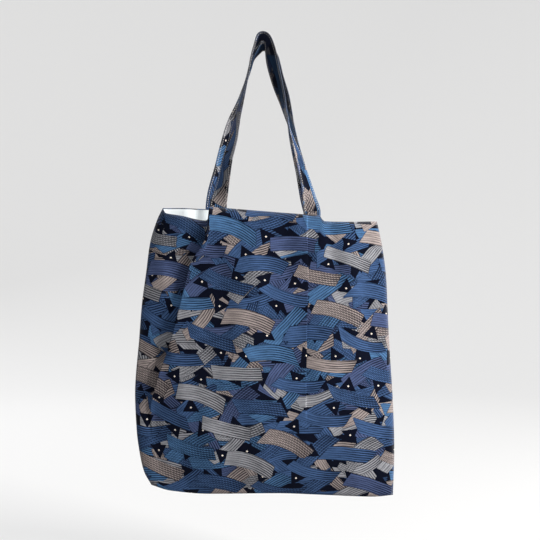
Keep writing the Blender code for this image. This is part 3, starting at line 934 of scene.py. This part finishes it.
def strap_stations(side):
    """(distance, middle, width direction, outward direction) at even steps along the strap."""
    read, length = path_reader(strap_frames(side))
    count = round(length / STRAP_STEP)
    stations = []
    for n in range(count + 1):
        at = length * n / count
        middle, width, out = read(at)
        stations.append((at, middle, width.normalized(), out.normalized()))
    return stations


def strap_section():
    """The strap's outline: (across, out) shares of its half width and half thickness."""
    front = [(-a, b) for a, b in STRAP_SECTION_SHARES[:0:-1]] + list(STRAP_SECTION_SHARES)
    back = [(a, -b) for a, b in reversed(front)]
    return front + [STRAP_GROOVE_SHARES] + back + [STRAP_FOLD_SHARES]


def strap_ring(shape, section, station):
    """The strap's section at this station, drawn in at each stitch, with its wear and its painted shade."""
    at, middle, width, out = station
    worn, painted_dark = (shape.verts.layers.float[name] for name in ("wear", "painted_shade"))
    drawn = STRAP_PUCKER * math.cos(math.tau * at / STITCH_PITCH)
    ring = []
    for a, b in section:
        off = (abs(a) - STRAP_STITCH_PLACE_SHARE) / STRAP_PUCKER_REACH_SHARE
        thick = b * STRAP_THICKNESS / 2 + math.copysign(drawn * math.exp(-(off**2)), b)
        vert = shape.verts.new(middle + width * a * STRAP_WIDTH / 2 + out * thick)
        vert[worn] = math.exp((abs(a) - 1) * STRAP_WIDTH / 2 / WEAR_REACH)
        # Painted shade: darkest about the bend over the hook, gone lower down the arms
        vert[painted_dark] = 1 - smooth_step((-vert.co.z - PAINTED_SHADE_FROM) / (PAINTED_SHADE_TO - PAINTED_SHADE_FROM))
        ring.append(vert)
    return ring


def new_strap(name, side, material):
    """One strap with both its sewn-in ends: a flat tube of four layers."""
    shape = bmesh.new()
    flat = shape.loops.layers.uv.new("cloth")
    for layer in ("wear", "painted_shade"):
        shape.verts.layers.float.new(layer)
    section = strap_section()
    corners = [(a * STRAP_WIDTH / 2, b * STRAP_THICKNESS / 2) for a, b in section + section[:1]]
    around = distances([Vector(corner) for corner in corners])
    stations = strap_stations(side)
    rings = [strap_ring(shape, section, station) for station in stations]
    shift_x, shift_y = STRAP_PRINT_SHIFTS[side]
    for k in range(len(rings) - 1):
        low, high = stations[k][0], stations[k + 1][0]
        for n, face in enumerate(join_rings(shape, rings[k], rings[k + 1])):
            places = ((around[n], low), (around[n + 1], low), (around[n + 1], high), (around[n], high))
            for loop, (across, along) in zip(face.loops, places):
                loop[flat].uv = (shift_x + along, shift_y + across)
    shape.faces.new(rings[0][::-1])
    shape.faces.new(rings[-1])
    bmesh.ops.recalc_face_normals(shape, faces=shape.faces)
    return mesh_object(name, shape, material)


# Stitches

def new_stitches(name, paths, radius, material):
    """Lines of stitches, each a bulge of thread that dips into the cloth at its ends."""
    shape = bmesh.new()
    for path in paths:
        read, length = path_reader(path)
        for n in range(int(length / STITCH_PITCH)):
            add_stitch(shape, read, n * STITCH_PITCH, radius)
    return mesh_object(name, shape, material)


def add_stitch(shape, read, start, radius):
    along = (read(start + STITCH_LENGTH)[0] - read(start)[0]).normalized()
    rings = []
    for share, size in STITCH_RING_SHARES:
        point, out = read(start + STITCH_LENGTH * share)
        side = along.cross(out).normalized()
        out = side.cross(along)
        middle = point + out * radius * (size * STITCH_RISE_SHARE - 1 - STITCH_SINK_SHARE)
        ring = []
        for n in range(STITCH_SIDES):
            turn = math.tau * n / STITCH_SIDES
            spoke = side * math.cos(turn) + out * math.sin(turn)
            ring.append(shape.verts.new(middle + spoke * radius * size))
        rings.append(ring)
    for low, high in zip(rings, rings[1:]):
        join_rings(shape, low, high)
    shape.faces.new(rings[0][::-1])
    shape.faces.new(rings[-1])


def strap_stitch_paths(side, edge):
    """Along one edge of a strap, on its outward and its inward face."""
    off = edge * STRAP_STITCH_PLACE_SHARE * STRAP_WIDTH / 2
    face = STRAP_STITCH_FACE_SHARE * STRAP_THICKNESS / 2
    skip = round(TAIL_LENGTH / STRAP_STEP) + STITCH_FREE_STATIONS
    stations = strap_stations(side)[skip:-skip]
    return [
        [(m + w * off + out * face * way, out * way) for _, m, w, out in stations]
        for way in (1, -1)
    ]


def mouth_stitch_path(side, columns):
    """On the outer's face, just under the mouth edge."""
    v = 1 - MOUTH_STITCH_DROP / BODY_HEIGHT
    lower = v - ROW_STEP / BODY_HEIGHT
    path = []
    points = [cloth_point(side, column(1), v) for column in columns]
    below = [cloth_point(side, column(1), lower) for column in columns]
    for n, point in enumerate(points):
        out = chord(points, n).cross(point - below[n]).normalized() * -side
        if out.y * side < 0:
            out = -out
        path.append((point + out * OUTER_THICKNESS / 2, out))
    return path


def seam_path(out_x, out_z):
    """Along a side or bottom seam, in the groove where front and back meet."""
    path = []
    for share in row_places():
        u, v = (share, 0) if out_z else (max(out_x, 0), share)
        x = cloth_x(BACK, u, v) - out_x * SEAM_STITCH_INSET
        z = cloth_z(BACK, u, v) - out_z * SEAM_STITCH_INSET
        path.append((Vector((x, 0, z)), Vector((out_x, 0, out_z))))
    return path


# Materials

class Graph:
    """Short calls for the nodes of a tree. Each input is a socket to link, or a value."""

    def __init__(self, tree):
        self.tree = tree

    def give(self, node, inputs):
        """Gives the node its inputs, pairs or a dictionary by name or number."""
        for name, value in dict(inputs).items():
            if isinstance(value, bpy.types.NodeSocket):
                self.tree.links.new(value, node.inputs[name])
            else:
                node.inputs[name].default_value = value

    def node(self, kind, inputs=(), **settings):
        made = self.tree.nodes.new(kind)
        for name, value in settings.items():
            setattr(made, name, value)
        self.give(made, inputs)
        return made

    def math(self, operation, a, b=0.0, c=0.0, clamp=False):
        inputs = enumerate((a, b, c))
        return self.node("ShaderNodeMath", inputs, operation=operation, use_clamp=clamp).outputs[0]

    def product(self, a, b):
        return self.math("MULTIPLY", a, b)

    def scaled(self, value, factor, added, clamp=False):
        return self.math("MULTIPLY_ADD", value, factor, added, clamp)

    def vector(self, operation, a, b):
        made = self.node("ShaderNodeVectorMath", enumerate((a, b)), operation=operation)
        return made.outputs["Value" if operation == "DOT_PRODUCT" else "Vector"]

    def mix(self, share, a, b, kind="RGBA", blend="MIX"):
        inputs = {"Factor": share, "A": a, "B": b}
        return self.node("ShaderNodeMix", inputs, data_type=kind, blend_type=blend).outputs["Result"]

    def toned(self, colour, tone):
        return self.mix(1.0, colour, self.bundle(tone, tone, tone), blend="MULTIPLY")

    def parts(self, vector):
        return self.node("ShaderNodeSeparateXYZ", {0: vector}).outputs

    def bundle(self, x, y, z=0.0):
        return self.node("ShaderNodeCombineXYZ", enumerate((x, y, z))).outputs[0]

    def attribute(self, name):
        return self.node("ShaderNodeAttribute", attribute_name=name).outputs["Fac"]

    def noise(self, place, scale, detail=2.0, roughness=0.5, output="Fac"):
        inputs = {"Vector": place, "Scale": scale, "Detail": detail, "Roughness": roughness}
        return self.node("ShaderNodeTexNoise", inputs).outputs[output]

    def random(self, seed, dimensions):
        """A random value and a random colour from this vector."""
        made = self.node("ShaderNodeTexWhiteNoise", {"Vector": seed}, noise_dimensions=dimensions)
        return made.outputs["Value"], made.outputs["Color"]

    def shaken(self, place, colour, size):
        """The place, moved by up to half this size each way, as the random colour says."""
        centred = self.vector("SUBTRACT", colour, (0.5, 0.5, 0.5))
        moved = self.node("ShaderNodeVectorMath", operation="SCALE")
        self.give(moved, {0: centred, "Scale": size})
        return self.vector("ADD", place, moved.outputs[0])

    def turned(self, place, angle):
        inputs = {"Vector": place, "Angle": angle}
        return self.node("ShaderNodeVectorRotate", inputs, rotation_type="Z_AXIS").outputs[0]


class Surface(Graph):
    """The nodes of a new material."""

    def __init__(self, name, roughness, sheen):
        self.material = bpy.data.materials.new(name)
        self.material.use_nodes = True
        super().__init__(self.material.node_tree)
        self.shade({
            "Roughness": roughness,
            "Specular IOR Level": CLOTH_SPECULAR,
            "Sheen Weight": sheen,
            "Sheen Roughness": SHEEN_ROUGHNESS,
        })

    def shade(self, inputs):
        self.give(self.tree.nodes["Principled BSDF"], inputs)

    def bump(self, heights):
        """Bumps from a list of (height socket, distance in metres, strength)."""
        last = {}
        for socket, distance, strength in heights:
            inputs = {"Strength": strength, "Distance": distance, "Height": socket, **last}
            last = {"Normal": self.node("ShaderNodeBump", inputs).outputs["Normal"]}
        self.shade(last)

    def object_place(self):
        return self.node("ShaderNodeTexCoord").outputs["Object"]


def weave(graph, place):
    """Plain weave: warp and weft take turns on top. Returns its height and a slub noise."""
    x, y, _ = graph.parts(place)
    warp, weft = (graph.math("SINE", graph.product(way, math.tau / YARN_PITCH)) for way in (x, y))
    lift = graph.scaled(graph.product(warp, weft), 0.5, 0.5)
    stretched = graph.vector("MULTIPLY", place, (1.0, SLUB_STRETCH, 1.0))
    return lift, graph.noise(stretched, SLUB_SCALE, FINE_DETAIL)


def cell_places(graph, place, cell):
    """Staggered cells: the place from its cell's middle, and the cell's number."""
    x, y, _ = graph.parts(graph.vector("DIVIDE", place, (*cell, 1.0)))
    row = graph.math("FLOOR", y)
    x = graph.scaled(row, 0.5, x)
    column = graph.math("FLOOR", x)
    local = graph.bundle(graph.math("SUBTRACT", x, column), graph.math("SUBTRACT", y, row))
    centred = graph.vector("SUBTRACT", local, (0.5, 0.5, 0.0))
    return graph.vector("MULTIPLY", centred, (*cell, 0.0)), graph.bundle(column, row)


def bar_layer(graph, place, number, below):
    """Lays bars over those below: (along, across, pick), edge distance and their mask."""
    turn, width, tall, shift_x, shift_y = BAR_LAYERS[number]
    moved = graph.vector("ADD", graph.turned(place, math.radians(turn)), (shift_x, shift_y, 0.0))
    local, cell = cell_places(graph, moved, (width, tall))
    seed = graph.vector("ADD", cell, (0.0, 0.0, number + BAR_LAYER_SEED))
    pick, colour = graph.random(seed, "3D")
    red, green, blue = graph.parts(colour)
    jitter = graph.scaled(red, BAR_JITTER, -BAR_JITTER / 2)
    local = graph.vector("ADD", local, graph.bundle(jitter, 0.0))
    angle = graph.scaled(green, BAR_TURN_SPREAD, -BAR_TURN_SPREAD / 2)
    x, y, _ = graph.parts(graph.turned(local, angle))
    bow = graph.scaled(blue, BAR_BOW, -BAR_BOW / 2)
    y = graph.scaled(graph.product(x, x), bow, y)
    slant = graph.scaled(red, 2 * BAR_SLANT, -BAR_SLANT)
    end = graph.math("ABSOLUTE", graph.scaled(y, slant, x))
    half = graph.scaled(blue, BAR_WIDTH_SPREAD, BAR_HALF_WIDTH - BAR_WIDTH_SPREAD / 2)
    from_end = graph.math("SUBTRACT", BAR_HALF_LENGTH, end)
    from_side = graph.math("SUBTRACT", half, graph.math("ABSOLUTE", y))
    inside = graph.math("MINIMUM", from_end, from_side)
    mask = graph.math("GREATER_THAN", inside, 0.0)
    bar = graph.bundle(x, y, pick)
    bar = graph.mix(mask, below[0], bar, "VECTOR")
    return bar, graph.mix(mask, below[1], inside, "FLOAT"), mask


def bar_colour(graph, pick):
    ramp = graph.node("ShaderNodeValToRGB", {"Fac": pick})
    ramp.color_ramp.interpolation = "CONSTANT"
    while len(ramp.color_ramp.elements) < len(BAR_COLOURS):
        ramp.color_ramp.elements.new(0.5)
    for element, (at, colour) in zip(ramp.color_ramp.elements, BAR_COLOURS):
        element.position = at
        element.color = colour
    return ramp.outputs["Color"]


def line_pattern(graph, across, pitch, fill):
    """1 on even lines across this direction."""
    return graph.math("LESS_THAN", graph.math("FRACT", graph.math("DIVIDE", across, pitch)), fill)


def hatching(graph, along, across, pick):
    """How dark the lines on the bars are."""
    heavier = graph.scaled(along, 0.5 / BAR_HALF_LENGTH, 0.5, clamp=True)
    heavier = graph.math("POWER", heavier, HATCH_GROWTH_POWER)
    fill = graph.scaled(heavier, HATCH_GROWTH_SHARE, HATCH_LEAST_SHARE)
    hatched = line_pattern(graph, across, HATCH_PITCH, fill)
    slanted = graph.scaled(along, LATTICE_SLANT, across)
    lattice = line_pattern(graph, slanted, LATTICE_PITCH, LATTICE_FILL_SHARE)
    second = graph.math("FRACT", graph.product(pick, SECOND_PICK_FACTOR))
    lattice = graph.product(lattice, graph.math("GREATER_THAN", second, LATTICE_FROM_PICK))
    return graph.product(graph.math("MAXIMUM", hatched, lattice), HATCH_DARK_SHARE)


def triangles(graph, place):
    """Dark triangles, each with a small pale lozenge: their mask and that of the lozenges."""
    local, cell = cell_places(graph, place, TRIANGLE_CELL)
    value, colour = graph.random(cell, "2D")
    moved = graph.shaken(local, colour, TRIANGLE_JITTER)
    spun = graph.turned(moved, graph.product(graph.parts(colour)[2], math.tau))
    reach = 0.0
    for n in range(3):
        way = math.radians(90 + 120 * n)
        toward = graph.vector("DOT_PRODUCT", spun, (math.cos(way), math.sin(way), 0.0))
        reach = graph.math("MAXIMUM", toward, reach)
    chosen = graph.math("LESS_THAN", value, TRIANGLE_SHARE)
    dark = graph.product(graph.math("LESS_THAN", reach, TRIANGLE_RADIUS), chosen)
    x, y, _ = graph.parts(moved)
    y = graph.math("ADD", y, SPECK_DROP)
    near = graph.math("ADD", graph.math("ABSOLUTE", x), graph.math("ABSOLUTE", y))
    return dark, graph.product(graph.math("LESS_THAN", near, SPECK_HALF), dark)


def print_colour(graph, place):
    """A generic print: hatched bars on a dark ground, with specked triangles among them."""
    wobble = graph.noise(place, HAND_WOBBLE_SCALE, output="Color")
    drawn = graph.shaken(place, wobble, HAND_WOBBLE)
    bar, edge = graph.bundle(0.0, 0.0), 0.0
    for number in range(len(BAR_LAYERS)):
        bar, edge, topmost = bar_layer(graph, drawn, number, (bar, edge))
    along, across, pick = graph.parts(bar)
    stretched = graph.bundle(graph.product(along, STREAK_STRETCH), across, pick)
    streaks = graph.scaled(graph.noise(stretched, STREAK_SCALE), *STREAK_TONE, clamp=True)
    base = graph.mix(streaks, bar_colour(graph, pick), NAVY_GROUND)
    outline = graph.math("LESS_THAN", edge, BAR_OUTLINE)
    dark = graph.math("MAXIMUM", hatching(graph, along, across, pick), outline)
    printed = graph.mix(dark, base, NAVY_GROUND)
    triangle, speck = triangles(graph, place)
    open_ground = graph.math("SUBTRACT", 1.0, topmost)
    printed = graph.mix(graph.product(triangle, open_ground), printed, NAVY_GROUND)
    return graph.mix(graph.product(speck, open_ground), printed, IVORY)


def start_cotton(name, cloth, fading=None):
    """A cotton with its creases and weave, and the tone and the slubs of its surface."""
    graph = Surface(name, cloth["roughness"], cloth["sheen"])
    place = graph.node("ShaderNodeUVMap", uv_map="cloth").outputs["UV"]
    lift, slub = weave(graph, place)
    tone = graph.scaled(slub, *cloth["slub_tone"])
    if fading:
        faded = graph.product(graph.noise(place, FADE_SCALE, FINE_DETAIL), fading)
        tone = graph.math("ADD", tone, faded)
    tone = graph.product(tone, graph.scaled(lift, *cloth["weave_tone"]))
    creases = graph.noise(place, cloth["crease_scale"], CREASE_DETAIL, CREASE_ROUGHNESS)
    graph.bump([(creases, *cloth["crease_bump"]), (lift, *cloth["weave_bump"])])
    return graph, place, tone, slub


def printed_cotton(name):
    """Printed plain-weave cotton, faintly worn along its edges, with painted shade on the straps about the
    hook.
    """
    graph, place, tone, slub = start_cotton(name, PRINTED_CLOTH, FADE_SHARE)
    toned = graph.toned(print_colour(graph, place), tone)
    # Painted shade on the straps about the hook, darkening them towards the navy ground
    painted_dark = graph.product(graph.attribute("painted_shade"), PAINTED_SHADE_SHARE)
    toned = graph.mix(painted_dark, toned, NAVY_GROUND)
    rubbed = graph.product(graph.attribute("wear"), graph.scaled(slub, *RUB_TONE, clamp=True))
    graph.shade({"Base Color": graph.mix(rubbed, toned, WARM_GREY)})
    return graph.material


def lining_cotton(name):
    """Plain white cotton, faintly creased."""
    graph, _, tone, _ = start_cotton(name, LINING_CLOTH)
    graph.shade({"Base Color": graph.toned(LINING_WHITE, tone)})
    return graph.material


def thread(name, colour):
    """Spun thread, with its fibres."""
    graph = Surface(name, THREAD_ROUGHNESS, THREAD_SHEEN)
    fibres = graph.noise(graph.object_place(), FIBRE_SCALE)
    graph.shade({"Base Color": graph.toned(colour, graph.scaled(fibres, *FIBRE_TONE))})
    graph.bump([(fibres, *FIBRE_BUMP)])
    return graph.material


def studio_material(name):
    """Pale and plain, and a little brighter to the camera than the lamps make it."""
    graph = Surface(name, STUDIO_ROUGHNESS, 0.0)
    tone = graph.scaled(graph.noise(graph.object_place(), STUDIO_TONE_SCALE), *STUDIO_TONE)
    rays = graph.node("ShaderNodeLightPath").outputs
    seen = graph.math("MAXIMUM", rays["Is Camera Ray"], rays["Is Glossy Ray"])
    seen = graph.math("MAXIMUM", seen, rays["Is Transmission Ray"])
    graph.shade({
        "Base Color": graph.toned(STUDIO_PALE, tone),
        "Emission Color": STUDIO_SEEN,
        "Emission Strength": graph.product(seen, STUDIO_GLOW),
    })
    return graph.material


# Pieces

def bend_line(which):
    """Start and end of the front's bend when the mouth opens, from a side seam to a strap."""
    start, end = taut_run(FRONT)
    z = height(1)
    if which == "left":
        first = MOUTH_LEFT + BEND_START_INSET
        last = MOUTH_LEFT + MOUTH_WIDTH * start - BEND_END_GAP
    else:
        first = MOUTH_LEFT + MOUTH_WIDTH - BEND_START_INSET
        last = MOUTH_LEFT + MOUTH_WIDTH * end + BEND_END_GAP
    return (first, 0, z), (last, 0, z)


def move_cloth(piece, side, which):
    """The back rides on its half, and the front bends out from the side seams."""
    if side == BACK:
        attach(piece, "back_half")
        return
    start, end = bend_line(which)
    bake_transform(piece, "back_half", "front_half", start=start, end=end)


def build_body(side, label, kind, material):
    """Outer or lining of one side. The front's is in two pieces that meet in the pleat."""
    is_lining = kind == "lining"
    columns, runs = column_lines(side)
    points = sheet_points(side, columns, is_lining)
    shift_x, shift_y = PRINT_SHIFTS[side]
    places = [[(x + shift_x, y + shift_y) for x, y in row] for row in flat_places(points)]
    wear = edge_wear(points)
    thickness = LINING_THICKNESS if is_lining else OUTER_THICKNESS
    for which, run in runs.items():
        piece, *grids = ([row[run] for row in grid] for grid in (points, places, wear))
        sheet = new_sheet(f"{kind}_{label}_{which}_cloth", side, piece, *grids, thickness, material)
        move_cloth(sheet, side, which)
        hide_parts(f"{kind}_{label}_panel")


def strap_bend(side):
    """Where a strap bends over the mouth edge when it swings."""
    left, right = strap_ends(side)
    middle = (left + right) / 2
    return tuple(middle), tuple(middle + strap_up(side) * STRAP_BEND)


def build_strap(side, label, cotton, pale):
    body = f"{label}_half"
    start, end = strap_bend(side)
    strap = new_strap(f"{label}_strap_cloth", side, cotton)
    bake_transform(strap, body, f"{label}_handle", start=start, end=end)
    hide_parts(f"{label}_strap", f"{label}_strap_left_sewn_end", f"{label}_strap_right_sewn_end")
    for edge, place in ((-1, "far"), (1, "near")):
        stitches = new_stitches(
            f"{label}_strap_{place}_stitches", strap_stitch_paths(side, edge), PALE_THREAD_RADIUS, pale
        )
        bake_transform(stitches, body, f"{label}_handle", start=start, end=end)
        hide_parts(f"{label}_strap_stitching_{place}")


def build_mouth_stitches(side, label, dark):
    columns, runs = column_lines(side)
    for which, run in runs.items():
        name = f"{label}_mouth_{which}_stitches".replace("_whole", "")
        path = mouth_stitch_path(side, columns[run])
        piece = new_stitches(name, [path], DARK_THREAD_RADIUS, dark)
        move_cloth(piece, side, which)
        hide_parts(f"mouth_stitching_{label}")


def build_seams(dark):
    for which, (node, out_x, out_z) in SEAMS.items():
        path = seam_path(out_x, out_z)
        piece = new_stitches(f"{which}_seam_stitches", [path], DARK_THREAD_RADIUS, dark)
        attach(piece, "back_half")
        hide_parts(node)


# Studio

def build_studio():
    """A round pale floor that curves up into a wall, so that no view has a horizon."""
    profile = []
    for n in range(CURVE_SEGMENTS + 1):
        angle = math.pi / 2 * n / CURVE_SEGMENTS
        radius = STUDIO_RADIUS - STUDIO_CURVE + STUDIO_CURVE * math.sin(angle)
        profile.append((radius, FLOOR_Z + STUDIO_CURVE * (1 - math.cos(angle))))
    profile.append((STUDIO_RADIUS, STUDIO_TOP))
    turns = [math.tau * n / ROUND_SEGMENTS for n in range(ROUND_SEGMENTS)]
    shape = bmesh.new()
    rings = []
    for radius, z in profile:
        circle = [(radius * math.cos(turn), radius * math.sin(turn), z) for turn in turns]
        rings.append([shape.verts.new(point) for point in circle])
    shape.faces.new(rings[0]).smooth = True
    for low, high in zip(rings, rings[1:]):
        join_rings(shape, high, low)
    mesh_object("studio", shape, studio_material("studio_pale"))


def build_lamps():
    for name, (place, size, energy, colour) in LAMPS.items():
        data = bpy.data.lights.new(name, "AREA")
        data.shape = "SQUARE"
        data.size = size
        data.energy = energy
        data.color = colour
        lamp = new_object(name, data)
        lamp.location = place
        toward = Vector(LAMP_TARGET) - Vector(place)
        lamp.rotation_euler = toward.to_track_quat("-Z", "Y").to_euler()


def build_world():
    world = bpy.data.worlds.new("studio_world")
    world.use_nodes = True
    graph = Graph(world.node_tree)
    rays = graph.node("ShaderNodeLightPath").outputs
    seen = graph.math("MAXIMUM", rays["Is Camera Ray"], rays["Is Glossy Ray"])
    levels = {"Value": seen, "To Min": WORLD_LIGHT, "To Max": WORLD_SEEN}
    strength = graph.node("ShaderNodeMapRange", levels).outputs[0]
    graph.give(graph.tree.nodes["Background"], {"Color": WORLD_COLOUR, "Strength": strength})
    bpy.context.scene.world = world


def build_camera():
    data = bpy.data.cameras.new("camera")
    data.sensor_width = SENSOR_WIDTH_MM
    data.lens = SENSOR_WIDTH_MM * CAMERA_DISTANCE / (PHOTO_PIXELS * PIXEL_SIZE)
    camera = new_object("camera", data)
    camera.location = (CAMERA_X, -CAMERA_DISTANCE, CAMERA_Z)
    camera.rotation_euler = (math.radians(90), 0, 0)
    bpy.context.scene.camera = camera


def main():
    bpy.context.scene.view_settings.view_transform = "Standard"
    cotton = printed_cotton("printed_cotton")
    lining = lining_cotton("white_lining")
    pale = thread("pale_thread", PALE_THREAD)
    dark = thread("dark_thread", DARK_THREAD)
    for side, label in SIDES.items():
        build_body(side, label, "outer", cotton)
        build_body(side, label, "lining", lining)
        build_strap(side, label, cotton, pale)
    for side, label in SIDES.items():
        build_mouth_stitches(side, label, dark)
    build_seams(dark)
    build_studio()
    build_lamps()
    build_world()
    build_camera()


main()
